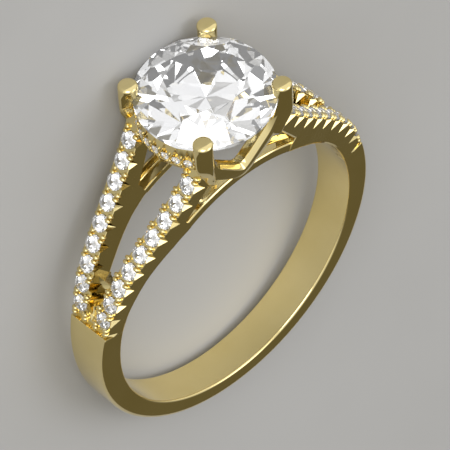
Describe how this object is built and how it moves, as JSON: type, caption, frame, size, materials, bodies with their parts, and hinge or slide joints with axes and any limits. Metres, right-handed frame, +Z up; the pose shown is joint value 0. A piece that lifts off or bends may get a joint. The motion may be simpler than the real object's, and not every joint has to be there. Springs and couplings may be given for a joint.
{
  "type": "split shank ring",
  "caption": "Finger ring with a round stone in a prong basket, on a hoop whose shoulders split into stone-set arms.",
  "frame": {"origin": "centre of the finger hole", "axes": "+Z up from the surface that the ring lies on, +Y across the finger hole towards the head, +X to the right shoulder"},
  "size_m": [0.0192, 0.0244, 0.0075],
  "materials": {
    "gold": "polished yellow gold",
    "centre_stone": "brilliant cut, polished",
    "small_stones": "brilliant cut, polished"
  },
  "bodies": {
    "root": {"shank_and_head": "gold", "centre_stone": "centre_stone", "left_front_stone_1": "small_stones", "left_front_stone_2": "small_stones", "left_front_stone_3": "small_stones", "left_front_stone_4": "small_stones", "left_front_stone_5": "small_stones", "left_front_stone_6": "small_stones", "left_front_stone_7": "small_stones", "left_front_stone_8": "small_stones", "left_front_stone_9": "small_stones", "left_back_stone_1": "small_stones", "left_back_stone_2": "small_stones", "left_back_stone_3": "small_stones", "left_back_stone_4": "small_stones", "left_back_stone_5": "small_stones", "left_back_stone_6": "small_stones", "left_back_stone_7": "small_stones", "left_back_stone_8": "small_stones", "left_back_stone_9": "small_stones", "right_front_stone_1": "small_stones", "right_front_stone_2": "small_stones", "right_front_stone_3": "small_stones", "right_front_stone_4": "small_stones", "right_front_stone_5": "small_stones", "right_front_stone_6": "small_stones", "right_front_stone_7": "small_stones", "right_front_stone_8": "small_stones", "right_front_stone_9": "small_stones", "right_back_stone_1": "small_stones", "right_back_stone_2": "small_stones", "right_back_stone_3": "small_stones", "right_back_stone_4": "small_stones", "right_back_stone_5": "small_stones", "right_back_stone_6": "small_stones", "right_back_stone_7": "small_stones", "right_back_stone_8": "small_stones", "right_back_stone_9": "small_stones", "left_gallery_stones": "small_stones", "right_gallery_stones": "small_stones"}
  },
  "joints": []
}
